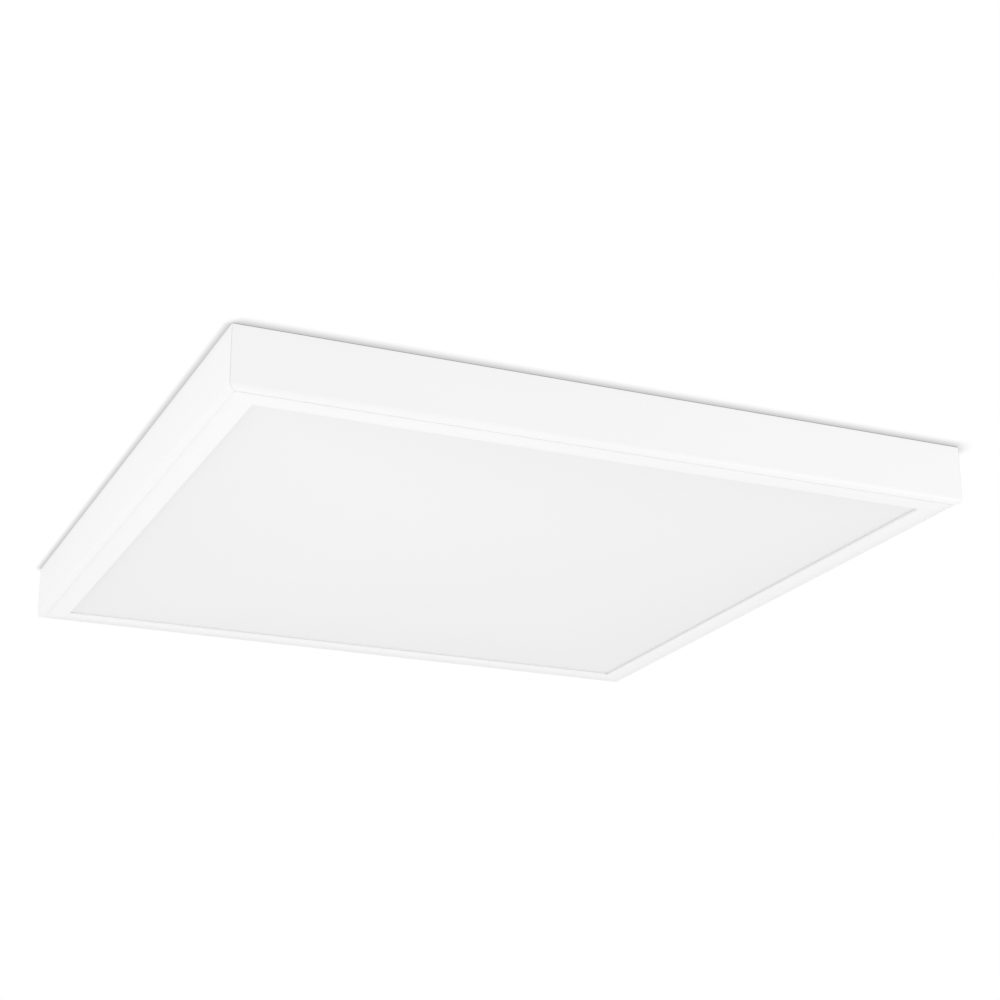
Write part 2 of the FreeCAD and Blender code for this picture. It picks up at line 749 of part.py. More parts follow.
def driver_base():
    """Moulded tray with fixing ears, corner bosses, board posts, a cord inlet and the lead outlet."""
    body = new_driver_body("driver_base")
    half_x = s.driver_length / 2
    half_y = s.driver_width / 2
    block = Drawing(body, "XY_Plane")
    block.rectangle(-half_x, half_x, -half_y, half_y)
    pad(body, block, s.driver_base_height)
    round_edges(body, corner_points(half_x, half_y, s.driver_base_height / 2), s.driver_corner)
    hollow = Drawing(body, "XY_Plane", s.driver_base_height)
    hollow.rectangle(-half_x + s.driver_wall, half_x - s.driver_wall,
                     -half_y + s.driver_wall, half_y - s.driver_wall)
    pocket(body, hollow, s.driver_base_height - s.driver_wall)
    ears = Drawing(body, "XY_Plane")
    root = half_x - s.driver_wall / 2
    for left, right, (_, middle) in zip((-half_x - s.ear_length, root), (-root, half_x + s.ear_length),
                                        ear_screw_places):
        ears.rectangle(left, right, middle - s.ear_width / 2, middle + s.ear_width / 2)
    pad(body, ears, s.ear_thickness)
    bosses = Drawing(body, "XY_Plane")
    for x, y in lid_screw_places:
        bosses.square(x, y, s.boss_side)
    pad(body, bosses, s.driver_base_height)
    posts = Drawing(body, "XY_Plane")
    for x in (board_left + s.post_inset, board_right - s.post_inset):
        for y in (s.post_inset - board_y, board_y - s.post_inset):
            posts.square(x, y, s.post_side)
    pad(body, posts, s.post_height)
    clamp_posts = Drawing(body, "XY_Plane")
    for x, y in clamp_screw_places:
        clamp_posts.square(x, y, s.clamp_width)
    pad(body, clamp_posts, s.clamp_level)
    pilots = Drawing(body, "XY_Plane", s.driver_base_height)
    for x, y in lid_screw_places:
        pilots.screw_hole(x, y, s.lid_screw_radius)
    for x, y in clamp_screw_places:
        pilots.screw_hole(x, y, s.clamp_screw_radius)
    pocket(body, pilots, s.driver_base_height - s.driver_wall)
    ear_holes = Drawing(body, "XY_Plane")
    for x, y in ear_screw_places:
        ear_holes.screw_hole(x, y, s.ear_screw_radius)
    pocket(body, ear_holes)
    inlet = Drawing(body, "YZ_Plane", -half_x + 2 * s.driver_wall)
    inlet.rectangle(-s.inlet_width / 2, s.inlet_width / 2,
                    s.driver_base_height - s.inlet_height, s.driver_base_height + s.driver_wall)
    pocket(body, inlet, 3 * s.driver_wall)
    outlet = Drawing(body, "YZ_Plane", half_x - 2 * s.driver_wall)
    outlet.circle(0.0, s.lead_level, s.bush_radius + s.lead_fit)
    pocket(body, outlet, 3 * s.driver_wall, along_normal=True)
    return body


def corner_points(half_x, half_y, middle):
    """Points halfway up the four upright edges of a block, in the body's own frame."""
    return [Vector(x.value, y.value, as_size(middle).value) for x, y in four(half_x, half_y)]


def driver_lid():
    """Moulded lid with two screw columns and a row of vent slots."""
    body = new_driver_body("driver_lid")
    half_x = s.driver_length / 2
    half_y = s.driver_width / 2
    block = Drawing(body, "XY_Plane", s.driver_base_height)
    block.rectangle(-half_x, half_x, -half_y, half_y)
    pad(body, block, s.driver_lid_height)
    round_edges(body, corner_points(half_x, half_y, s.driver_base_height + s.driver_lid_height / 2),
                s.driver_corner)
    hollow = Drawing(body, "XY_Plane", s.driver_base_height)
    hollow.rectangle(-half_x + s.driver_wall, half_x - s.driver_wall,
                     -half_y + s.driver_wall, half_y - s.driver_wall)
    pocket(body, hollow, s.driver_lid_height - s.driver_wall, along_normal=True)
    columns = Drawing(body, "XY_Plane", s.driver_base_height)
    for x, y in lid_screw_places:
        columns.square(x, y, s.boss_side)
    pad(body, columns, s.driver_lid_height)
    bores = Drawing(body, "XY_Plane", driver_top)
    sinks = Drawing(body, "XY_Plane", driver_top)
    for x, y in lid_screw_places:
        bores.screw_hole(x, y, s.lid_screw_radius)
        sinks.screw_hole(x, y, s.lid_head_radius)
    pocket(body, bores)
    pocket(body, sinks, s.lid_head_sink)
    vents = Drawing(body, "XY_Plane", driver_top)
    gaps = round(s.vent_span.value / s.vent_pitch.value)
    for step in range(gaps + 1):
        middle = (step - gaps / 2) * s.vent_pitch
        vents.rectangle(middle - s.vent_width / 2, middle + s.vent_width / 2,
                        -s.vent_length / 2, s.vent_length / 2)
    pocket(body, vents, 2 * s.driver_wall)
    return body


def circuit_board():
    """The driver's circuit board, with its transformer and its two large capacitors."""
    board = new_driver_body("driver_circuit_board")
    outline = Drawing(board, "XY_Plane", s.post_height)
    outline.rectangle(board_left, board_right, -board_y, board_y)
    pad(board, outline, s.board_thickness)
    transformer = new_driver_body("driver_transformer")
    core = Drawing(transformer, "XY_Plane", board_top)
    core_x = board_middle + s.core_place
    core.rectangle(core_x - s.core_length / 2, core_x + s.core_length / 2,
                   -s.core_width / 2, s.core_width / 2)
    pad(transformer, core, s.core_height)
    winding = Drawing(transformer, "XY_Plane", board_top).circle(core_x, 0.0, s.winding_radius)
    pad(transformer, winding, s.winding_height)
    capacitors = new_driver_body("driver_capacitors")
    cans = Drawing(capacitors, "XY_Plane", board_top)
    for side in (-0.5, 0.5):
        cans.circle(board_middle - s.can_place, side * s.can_spacing, s.can_radius)
    pad(capacitors, cans, s.can_height)


def terminal_block():
    """Three-way terminal block: wires enter from the cord's side, screws are turned from above."""
    body = new_driver_body("driver_terminal_block")
    near_end = board_left + s.terminal_inset
    middle = near_end + s.terminal_length / 2
    block = Drawing(body, "XY_Plane", board_top)
    block.rectangle(near_end, near_end + s.terminal_length, -s.terminal_width / 2, s.terminal_width / 2)
    pad(body, block, s.terminal_height)
    entries = Drawing(body, "YZ_Plane", middle)
    wells = Drawing(body, "XY_Plane", board_top + s.terminal_height)
    for step in (-1, 0, 1):
        entries.square(step * s.terminal_pitch, board_top + s.terminal_hole, s.terminal_hole)
        wells.circle(middle, step * s.terminal_pitch, s.terminal_hole / 2)
    pocket(body, entries, s.terminal_length)
    pocket(body, wells, s.terminal_height - s.terminal_hole)


def cord_clamp():
    """A bar with an arched underside that grips the mains cord over the two clamp posts."""
    body = new_driver_body("cord_clamp")
    bar = Drawing(body, "XY_Plane", s.clamp_level)
    bar.rectangle(clamp_x - s.clamp_width / 2, clamp_x + s.clamp_width / 2,
                  -s.clamp_span / 2, s.clamp_span / 2)
    pad(body, bar, s.clamp_thickness)
    arch = Drawing(body, "YZ_Plane").circle(0.0, s.clamp_level - s.inlet_width / 4, s.inlet_width / 2)
    pocket(body, arch)
    holes = Drawing(body, "XY_Plane", s.clamp_level)
    for x, y in clamp_screw_places:
        holes.screw_hole(x, y, s.clamp_screw_radius)
    pocket(body, holes)


def driver_screws():
    """Screws of the driver: lid, cord clamp and fixing ears."""
    headed_screws(new_driver_body("driver_lid_screws"), lid_screw_places, driver_top - s.lid_head_sink,
                  s.lid_screw_radius, s.lid_screw_length, s.lid_head_radius, s.lid_head_height)
    headed_screws(new_driver_body("cord_clamp_screws"), clamp_screw_places,
                  s.clamp_level + s.clamp_thickness, s.clamp_screw_radius, s.clamp_screw_length,
                  s.clamp_head_radius, s.clamp_head_height)
    headed_screws(new_driver_body("driver_fixing_screws"), ear_screw_places, s.ear_thickness,
                  s.ear_screw_radius, s.ear_screw_length, s.ear_head_radius, s.ear_head_height)


def route(points, level):
    """Straight runs joined by tangent arcs, each as large as its two runs allow."""
    corners = [Vector(x, y, level) for x, y in points]
    edges = []
    start = corners[0]
    for before, corner, after in zip(corners, corners[1:], corners[2:]):
        into = (corner - before).normalize()
        out = (after - corner).normalize()
        half_turn = into.getAngle(out) / 2
        room = 0.45 * min((corner - before).Length, (after - corner).Length)
        radius = room / math.tan(half_turn)
        print(f"lead bend radius {radius:.1f}")
        first = corner - into * room
        last = corner + out * room
        towards = (out - into).normalize()
        middle = corner + towards * (radius / math.cos(half_turn) - radius)
        edges.append(Part.LineSegment(start, first).toShape())
        edges.append(Part.Arc(first, middle, last).toShape())
        start = last
    edges.append(Part.LineSegment(start, corners[-1]).toShape())
    return Part.Wire(edges)


def lead(name, points):
    """A round lead lying level above the back cover."""
    level = (panel_z + cover_top + s.lead_level).value
    path = route([(x.value, (panel_y + y).value) for x, y in points], level)
    radius = s.lead_radius.value
    start = path.Edges[0].Vertexes[0].Point
    across = path.Edges[0].tangentAt(path.Edges[0].FirstParameter).cross(Vector(0, 0, 1))
    turns = [2 * math.pi * step / LEAD_SIDES for step in range(LEAD_SIDES + 1)]
    section = Part.makePolygon([start + across * (radius * math.cos(turn)) +
                                Vector(0, 0, radius * math.sin(turn)) for turn in turns])
    item = doc.addObject("Part::Feature", name)
    item.Shape = path.makePipeShell([section], True, False)
    expected = LEAD_SIDES / 2 * math.sin(2 * math.pi / LEAD_SIDES) * radius ** 2 * path.Length
    if abs(item.Shape.Volume / expected - 1) > 0.01:
        raise ValueError(f"{name} has the wrong volume")
    return keep(item, name)


def lead_bush():
    """Rubber bush that holds the lead in the driver's wall."""
    bush = new_driver_body("driver_lead_bush")
    inside = s.driver_length / 2 - s.driver_wall
    pad(bush, Drawing(bush, "YZ_Plane", inside - s.bush_flange).circle(
        0.0, s.lead_level, s.bush_radius + s.bush_flange), s.bush_flange)
    pad(bush, Drawing(bush, "YZ_Plane", inside).circle(0.0, s.lead_level, s.bush_radius),
        s.driver_wall + s.bush_nose)
    pocket(bush, Drawing(bush, "YZ_Plane").circle(0.0, s.lead_level, s.lead_radius + s.lead_fit))


def connector(name, tail, sign):
    """One half of the inline connector: a barrel with a ribbed strain relief that ends at the lead's end."""
    x, y = tail
    body = new_body(name, x, panel_y + y, panel_z + cover_top + s.lead_level)
    neck = s.lead_radius + s.relief_wall
    stages = [(0.0, s.relief_length, neck), (s.relief_length, s.plug_length, s.plug_radius)]
    for share in (0.3, 0.6):
        stages.append((share * s.relief_length, s.relief_rib_width, neck + s.relief_rib))
    for start, length, radius in stages:
        disc = Drawing(body, "XZ_Plane", sign * start).ring(0.0, 0.0, radius, HEAD_SIDES)
        pad(body, disc, length, downwards=sign < 0)


def lead_clips():
    """Adhesive clips that carry the two leads beside their connectors."""
    clips = []
    half_width = s.lead_radius + s.clip_wall
    for number, ((x, y), (_, before)) in enumerate((driver_lead_points[:-3:-1], panel_lead_points[:-3:-1])):
        clip = doc.addObject("PartDesign::Body", f"lead_clip_{number}")
        middle = y + (before - y) / 4
        place(clip, x, panel_y + middle, panel_z + cover_top)
        outline = Drawing(clip, "XZ_Plane").polygon([
            (-half_width - s.clip_foot, 0.0), (half_width + s.clip_foot, 0.0),
            (half_width + s.clip_foot, s.clip_wall), (half_width, s.clip_wall),
            (half_width, s.lead_level + half_width), (-half_width, s.lead_level + half_width),
            (-half_width, s.clip_wall), (-half_width - s.clip_foot, s.clip_wall)])
        outline.circle(0.0, s.lead_level, s.lead_radius + s.lead_fit)
        pad(clip, outline, s.clip_length, symmetric=True)
        clips.append(clip)
    group = doc.addObject("Part::Compound", "lead_clips")
    group.Links = clips
    keep(group, "lead_clips")


def lead_grommet():
    """Moulded outlet over the cover's hole: the lead enters its side and turns down inside it."""
    grommet = new_body("lead_grommet", grommet_x, panel_y + grommet_y, panel_z + cover_top)
    pad(grommet, Drawing(grommet, "XY_Plane").circle(0.0, 0.0, s.grommet_radius), s.grommet_height)
    pad(grommet, Drawing(grommet, "XY_Plane").circle(0.0, 0.0, s.grommet_neck_radius),
        s.grommet_neck_depth, downwards=True)
    mouth = Drawing(grommet, "YZ_Plane", s.grommet_radius / 2)
    mouth.circle(0.0, s.lead_level, s.lead_radius + s.lead_fit)
    pocket(grommet, mouth, s.grommet_radius, along_normal=True)


def low_voltage_lead():
    """The lead in its two lengths, with everything that holds and joins them."""
    lead("driver_lead", driver_lead_points)
    lead("panel_lead", panel_lead_points)
    lead_bush()
    connector("dc_plug", driver_lead_points[-1], 1.0)
    connector("dc_socket", panel_lead_points[-1], -1.0)
    lead_clips()
    lead_grommet()


surface_frame()
end_rail_set()
led_panel()
driver_base()
driver_lid()
circuit_board()
terminal_block()
cord_clamp()
driver_screws()
low_voltage_lead()
doc.recompute()

for item in doc.Objects:
    if "Invalid" in item.State or "Error" in item.State:
        raise ValueError(f"{item.Label} failed to build")
for item in doc.Objects:
    if item.TypeId == "PartDesign::Pocket" and item.Shape.Volume > item.BaseFeature.Shape.Volume - 1e-6:
        raise ValueError(f"{item.Label} cuts nothing")
for name, item in parts.items():
    if item.Shape.isNull() or not item.Shape.isValid():
        raise ValueError(f"{name} has no valid shape")

os.makedirs("parts", exist_ok=True)
for name, item in parts.items():
    item.Shape.exportStep(f"parts/{name}.step")
print(f"{len(parts)} sub-parts")
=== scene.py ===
import math

import bmesh
import bpy
from mathutils import Matrix, Vector


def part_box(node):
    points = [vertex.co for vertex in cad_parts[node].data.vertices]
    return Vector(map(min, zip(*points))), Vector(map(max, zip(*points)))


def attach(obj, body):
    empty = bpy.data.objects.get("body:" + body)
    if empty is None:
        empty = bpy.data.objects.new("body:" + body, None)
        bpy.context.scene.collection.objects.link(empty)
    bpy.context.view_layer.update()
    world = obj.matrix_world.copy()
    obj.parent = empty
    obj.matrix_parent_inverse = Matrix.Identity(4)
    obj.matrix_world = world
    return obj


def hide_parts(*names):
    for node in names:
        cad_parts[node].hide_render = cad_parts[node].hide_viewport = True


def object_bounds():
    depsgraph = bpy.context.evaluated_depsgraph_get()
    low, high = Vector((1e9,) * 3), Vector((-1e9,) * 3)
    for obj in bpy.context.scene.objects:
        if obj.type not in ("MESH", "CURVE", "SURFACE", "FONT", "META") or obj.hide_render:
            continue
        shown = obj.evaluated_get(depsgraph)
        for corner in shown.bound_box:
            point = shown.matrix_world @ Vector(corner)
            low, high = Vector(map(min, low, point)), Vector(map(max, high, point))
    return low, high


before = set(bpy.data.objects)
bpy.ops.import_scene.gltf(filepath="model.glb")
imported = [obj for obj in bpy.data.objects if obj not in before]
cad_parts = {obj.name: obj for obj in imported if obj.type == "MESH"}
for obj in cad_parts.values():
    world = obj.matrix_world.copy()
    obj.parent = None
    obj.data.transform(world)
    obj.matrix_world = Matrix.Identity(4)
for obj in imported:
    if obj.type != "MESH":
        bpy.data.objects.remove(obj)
cad_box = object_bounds()

# SURFACE FRAME RAILS
# Four mitred lengths of extruded aluminium, powder coated white after sawing. Three are screwed to the
# ceiling as one frame, and the fourth is put on last and closes the end that the panel slides in from.


class Signal:
    """A shader value or vector. Python's operators on it add Math nodes."""

    def __init__(self, finish, socket):
        self.finish = finish
        self.socket = socket

    def math(self, operation, *values):
        return self.finish.node("ShaderNodeMath", {"operation": operation}, dict(enumerate(values)))

    def __add__(self, other):
        return self.math("ADD", self, other)

    def __radd__(self, other):
        return self.math("ADD", other, self)

    def __sub__(self, other):
        return self.math("SUBTRACT", self, other)

    def __rsub__(self, other):
        return self.math("SUBTRACT", other, self)

    def __mul__(self, other):
        return self.math("MULTIPLY", self, other)

    def __rmul__(self, other):
        return self.math("MULTIPLY", other, self)

    def __pow__(self, other):
        return self.math("POWER", self, other)

    def __gt__(self, other):
        return self.math("GREATER_THAN", self, other)

    def size(self):
        return self.math("ABSOLUTE", self)

    def larger(self, other):
        return self.math("MAXIMUM", self, other)


class Finish:
    """A material built round one Principled shader, with patterns laid on the object's own coordinates."""

    def __init__(self, name, colour, **even):
        """Start with one colour, and with the shader's sockets that are even all over."""
        self.material = bpy.data.materials.new(name)
        self.material.use_nodes = True
        self.material.diffuse_color = (*colour, 1.0)
        self.tree = self.material.node_tree
        self.shader = self.tree.nodes["Principled BSDF"]
        self.shader.inputs["Base Color"].default_value = (*colour, 1.0)
        for socket, value in even.items():
            self.shader.inputs[socket.replace("_", " ")].default_value = value
        self.place = self.node("ShaderNodeTexCoord", out="Object")

    def node(self, kind, settings=None, sockets=None, out=0):
        """Add a node, make its settings, then feed its sockets."""
        made = self.tree.nodes.new(kind)
        for name, value in (settings or {}).items():
            setattr(made, name, value)
        for name, value in (sockets or {}).items():
            self.feed(made.inputs[name], value)
        return Signal(self, made.outputs[out])

    def feed(self, socket, value):
        """Link a signal to a socket, or set the socket's own value or colour."""
        if isinstance(value, Signal):
            self.tree.links.new(value.socket, socket)
        elif isinstance(value, tuple) and len(value) == 3 and socket.type == "RGBA":
            socket.default_value = (*value, 1.0)
        else:
            socket.default_value = value

    def vary(self, socket, value):
        """Let a pattern feed one of the shader's sockets."""
        self.feed(self.shader.inputs[socket], value)

    def noise(self, scale, detail=2.0, vector=None):
        return self.node("ShaderNodeTexNoise", None,
                         {"Vector": vector or self.place, "Scale": scale, "Detail": detail}, "Fac")

    def stretched(self, scale):
        """The object's coordinates scaled along each axis, for a pattern with a run."""
        return self.node("ShaderNodeMapping", None, {"Vector": self.place, "Scale": scale})

    def axes(self):
        """The object's three coordinates, each as a signal."""
        parts = self.node("ShaderNodeSeparateXYZ", None, {0: self.place})
        return [Signal(self, socket) for socket in parts.socket.node.outputs]

    def mix(self, share, first, second):
        return self.node("ShaderNodeMix", {"data_type": "RGBA"}, {0: share, 6: first, 7: second}, 2)

    def bump(self, height, distance):
        raised = self.node("ShaderNodeBump", None, {"Height": height, "Distance": distance}, "Normal")
        self.vary("Normal", raised)


def make_piece(name, shape, finish, body, node):
    """Turn a finished bmesh into a piece that rides on a body and stands for a CAD node."""
    crease = math.radians(35.0)
    mesh = bpy.data.meshes.new(name)
    shape.to_mesh(mesh)
    shape.free()
    mesh.materials.append(finish.material)
    mesh.shade_smooth()
    mesh.set_sharp_from_angle(angle=crease)
    made = bpy.data.objects.new(name, mesh)
    bpy.context.scene.collection.objects.link(made)
    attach(made, body)
    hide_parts(node)


def merged_copy(node):
    """A copy of a CAD node's mesh with its loose triangles merged into whole flat faces."""
    same_point, same_plane = 0.000002, math.radians(0.5)
    shape = bmesh.new()
    shape.from_mesh(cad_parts[node].data)
    bmesh.ops.remove_doubles(shape, verts=shape.verts, dist=same_point)
    bmesh.ops.dissolve_limit(shape, angle_limit=same_plane, verts=shape.verts, edges=shape.edges)
    return shape


def break_edges(shape, width, segments, chosen):
    """Round the sharp outward edges that a test picks, and merge what the rounding leaves doubled."""
    sharp, same_point = math.radians(50.0), 0.000001
    edges = [edge for edge in shape.edges
             if len(edge.link_faces) == 2 and edge.calc_face_angle_signed() > sharp and chosen(edge)]
    bmesh.ops.bevel(shape, geom=edges, offset=width, offset_type="OFFSET", segments=segments,
                    profile=0.5, affect="EDGES", clamp_overlap=True, material=-1)
    bmesh.ops.remove_doubles(shape, verts=shape.verts, dist=same_point)


def runs_along_member(edge):
    """True for an edge that follows a sawn member, and false at its mitres and round its holes."""
    shortest, straightness = 0.2, 0.999
    run = edge.verts[1].co - edge.verts[0].co
    return run.length > shortest and max(abs(run.x), abs(run.y)) > straightness * run.length


powder_coat = Finish("white powder coat", (0.92, 0.92, 0.918), Roughness=0.42)
peel = powder_coat.noise(scale=620.0, detail=3.0)
flow = powder_coat.noise(scale=9.0)
powder_coat.vary("Base Color", powder_coat.mix(flow, (0.91, 0.91, 0.908), (0.93, 0.93, 0.928)))
powder_coat.vary("Roughness", 0.36 + 0.12 * peel)
powder_coat.bump(peel, distance=0.00004)
extruded_edge, extruded_segments = 0.0003, 2
for rail, body in (("left_side_rail", "surface_frame"), ("right_side_rail", "surface_frame"),
                   ("back_rail", "surface_frame"), ("end_rail", "end_rail")):
    shape = merged_copy(rail)
    break_edges(shape, extruded_edge, extruded_segments, runs_along_member)
    make_piece(f"coated_{rail}", shape, powder_coat, body, rail)

# CORNER BRACKETS
# Steel strip bent to a right angle and zinc plated. Each leg slides into the channel of a rail and is
# locked there by a grub screw, which pulls the mitre tight.
zinc = Finish("bright zinc plate", (0.68, 0.69, 0.7), Metallic=1.0)
drawn = zinc.noise(scale=60.0, detail=4.0, vector=zinc.stretched((1.0, 1.0, 25.0)))
blotch = zinc.noise(scale=45.0)
zinc.vary("Base Color", zinc.mix(blotch, (0.6, 0.61, 0.62), (0.76, 0.77, 0.79)))
zinc.vary("Roughness", 0.26 + 0.2 * drawn)
zinc.bump(drawn, distance=0.00003)


def longer_than(length):
    """A test for edges longer than this."""
    return lambda edge: edge.calc_length() > length


sheared_edge, sheared_segments, shortest_sheared = 0.0003, 2, 0.004
for end, body in (("back", "surface_frame"), ("front", "end_rail")):
    for side in ("left", "right"):
        bracket = f"{end}_{side}_corner_bracket"
        shape = merged_copy(bracket)
        break_edges(shape, sheared_edge, sheared_segments, longer_than(shortest_sheared))
        make_piece(f"plated_{bracket}", shape, zinc, body, bracket)

# GRUB SCREWS
# Short steel socket screws with a cup point and a black oxide finish, one through each bracket leg. They
# are turned with a hexagon key from inside the frame and bear on the rail's outer wall.
black_oxide = Finish("black oxide steel", (0.035, 0.035, 0.038), Metallic=0.85)
oil = black_oxide.noise(scale=900.0, detail=3.0)
black_oxide.vary("Roughness", 0.35 + 0.25 * oil)
black_oxide.bump(oil, distance=0.00002)


def turned(profile, sides):
    """Spin (radius, height) points round the upright axis."""
    same_point = 0.000001
    shape = bmesh.new()
    points = [shape.verts.new((radius, 0.0, height)) for radius, height in profile]
    edges = [shape.edges.new(pair) for pair in zip(points, points[1:])]
    bmesh.ops.spin(shape, geom=points + edges, cent=(0.0, 0.0, 0.0), axis=(0.0, 0.0, 1.0),
                   angle=math.tau, steps=sides, use_merge=True)
    bmesh.ops.remove_doubles(shape, verts=shape.verts, dist=same_point)
    return shape


def sink(shape, outline, depth, narrowing):
    """Join an outline to the open rim at the top of a turned shape, and press it down as a recess."""
    rim = [edge for edge in shape.edges if edge.is_boundary]
    top = rim[0].verts[0].co.z
    corners = [shape.verts.new((x, y, top)) for x, y in outline]
    mouth = [shape.edges.new(pair) for pair in zip(corners, corners[1:] + corners[:1])]
    bmesh.ops.bridge_loops(shape, edges=rim + mouth)
    pressed = bmesh.ops.extrude_edge_only(shape, edges=mouth)["geom"]
    floor = [item for item in pressed if isinstance(item, bmesh.types.BMVert)]
    bmesh.ops.translate(shape, verts=floor, vec=(0.0, 0.0, -depth))
    bmesh.ops.scale(shape, verts=floor, vec=(narrowing, narrowing, 1.0))
    bmesh.ops.contextual_create(shape, geom=[item for item in pressed if isinstance(item, bmesh.types.BMEdge)
                                             and all(corner in floor for corner in item.verts)])
    bmesh.ops.recalc_face_normals(shape, faces=shape.faces)


def copies(shape, placings):
    """Repeat a shape at each placing."""
    first = shape.verts[:] + shape.edges[:] + shape.faces[:]
    sets = [shape.verts[:]]
    for _ in placings[1:]:
        made = bmesh.ops.duplicate(shape, geom=first)["geom"]
        sets.append([item for item in made if isinstance(item, bmesh.types.BMVert)])
    for placing, corners in zip(placings, sets):
        bmesh.ops.transform(shape, matrix=placing, verts=corners)


def regular(sides, radius):
    """The corners of a regular outline."""
    return [(radius * math.cos(math.tau * step / sides), radius * math.sin(math.tau * step / sides))
            for step in range(sides)]


screw_sides = 24
grub_radius, grub_length, cup_depth, tip_slope, top_slope = 0.002, 0.004, 0.0005, 0.0006, 0.0003
key_radius, key_depth = 0.00115, 0.002
rail_wall, bracket_fit, grub_from_corner = 0.0016, 0.00015, 0.026
wall_x = cad_box[1][0] - rail_wall
wall_y = cad_box[1][1] - rail_wall
grub_level = 0.5 * (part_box("back_left_corner_bracket")[0][2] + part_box("back_left_corner_bracket")[1][2])
for end, sign_y, body in (("back", 1.0, "surface_frame"), ("front", -1.0, "end_rail")):
    placings = []
    for sign_x in (-1.0, 1.0):
        for place, inward in (
                ((sign_x * wall_x, sign_y * (wall_y - bracket_fit - grub_from_corner)), (-sign_x, 0.0)),
                ((sign_x * (wall_x - bracket_fit - grub_from_corner), sign_y * wall_y), (0.0, -sign_y))):
            aim = Vector((*inward, 0.0)).to_track_quat("Z", "Y").to_matrix().to_4x4()
            placings.append(Matrix.Translation((*place, grub_level)) @ aim)
    cup_point = [(0.0, cup_depth), (0.5 * grub_radius, 0.0), (0.7 * grub_radius, 0.0),
                 (grub_radius, tip_slope)]
    key_end = [(grub_radius, grub_length - top_slope), (0.86 * grub_radius, grub_length),
               (0.68 * grub_radius, grub_length)]
    shape = turned(cup_point + key_end, screw_sides)
    sink(shape, regular(6, key_radius), key_depth, narrowing=1.0)
    copies(shape, placings)
    make_piece(f"{end}_grub_screws", shape, black_oxide, body, f"{end}_corner_grub_screws")

# PANEL FRAME
# A second, smaller extrusion in the same coat, mitred at the corners, carries the optical stack. Its
# grooves run on the tongues of the side rails.
for side in ("left", "right", "front", "back"):
    shape = merged_copy(f"panel_frame_{side}")
    break_edges(shape, extruded_edge, extruded_segments, runs_along_member)
    make_piece(f"coated_panel_{side}", shape, powder_coat, "led_panel",
               f"panel_frame_{side}")

# CORNER KEYS
# Dull die-cast zinc angles, left as they come from the mould. They are pressed into the channels of the
# panel frame and hold its mitres together.
cast_zinc = Finish("die-cast zinc", (0.5, 0.51, 0.52), Metallic=0.9)
grain = cast_zinc.noise(scale=800.0, detail=4.0)
cast_zinc.vary("Roughness", 0.45 + 0.2 * grain)
cast_zinc.bump(grain, distance=0.00006)


def dress(finish, *names):
    """Give CAD nodes a finish."""
    for name in names:
        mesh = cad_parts[name].data
        mesh.materials.clear()
        mesh.materials.append(finish.material)


dress(cast_zinc, "front_left_corner_key", "front_right_corner_key",
      "back_left_corner_key", "back_right_corner_key")

# DIFFUSER
# Opal sheet that lies on the lip of the panel frame. Unlit, it is a cool white with a matt face that has
# a very fine moulded grain. Towards its edges its colour darkens, which is painted shade.
opal_white, painted_shade_white, painted_shade_falloff = (0.88, 0.881, 0.885), (0.85, 0.851, 0.855), 3.0
opal = Finish("opal sheet", opal_white, Roughness=0.5)
frost = opal.noise(scale=1500.0)
across, along, _ = opal.axes()
middle_y = 0.5 * (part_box("diffuser")[0][1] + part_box("diffuser")[1][1])
half_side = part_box("diffuser")[1][0]
# Painted shade: the colour darkens from the middle of the sheet out to its edges.
outward = across.size().larger((along - middle_y).size()) * (1.0 / half_side)
opal.vary("Base Color", opal.mix(outward ** painted_shade_falloff, opal_white, painted_shade_white))
opal.vary("Roughness", 0.44 + 0.12 * frost)
opal.bump(frost, distance=0.00002)
dress(opal, "diffuser")

# LIGHT GUIDE
# Clear acrylic plate behind the diffuser, lit through its left and right edges. Its face carries a fine
# grid of printed white dots that lets the light out.
acrylic = Finish("dotted acrylic", (0.8, 0.85, 0.84), Roughness=0.08, Coat_Weight=0.3)
dots = acrylic.node("ShaderNodeTexVoronoi", {"voronoi_dimensions": "2D"},
                    {"Vector": acrylic.place, "Scale": 500.0, "Randomness": 0.0}, "Distance")
dot_radius = 0.3
acrylic.vary("Base Color", acrylic.mix(dots > dot_radius, (0.93, 0.94, 0.94), (0.78, 0.84, 0.83)))
dress(acrylic, "light_guide")

# REFLECTOR FILM
# White polyester film, laid behind the guide, which throws the light forward again. So thin a sheet has
# long shallow ripples.
film = Finish("reflector film", (0.93, 0.93, 0.93), Roughness=0.3)
ripple = film.noise(scale=25.0)
film.bump(ripple, distance=0.0002)
dress(film, "reflector_film")

# LED STRIPS
# Narrow boards with a white solder mask, stuck to the inner walls of the left and right members, each
# with a row of small chips under yellow phosphor.
mask_white, track_white, track_edge = (0.88, 0.88, 0.86), (0.76, 0.76, 0.72), 0.86
mask = Finish("white solder mask", mask_white, Roughness=0.35)
tracks = mask.node("ShaderNodeTexWave", {"bands_direction": "Z"},
                   {"Vector": mask.place, "Scale": 90.0}, "Fac")
mask.vary("Base Color", mask.mix(tracks > track_edge, mask_white, track_white))
mask.bump(tracks, distance=0.00002)
dress(mask, "led_strip_left", "led_strip_right")
phosphor = Finish("chip phosphor", (0.9, 0.78, 0.2), Roughness=0.4)
crystal = phosphor.noise(scale=2500.0)
phosphor.vary("Base Color", phosphor.mix(crystal, (0.9, 0.72, 0.12), (0.95, 0.84, 0.36)))
dress(phosphor, "led_chips_left", "led_chips_right")

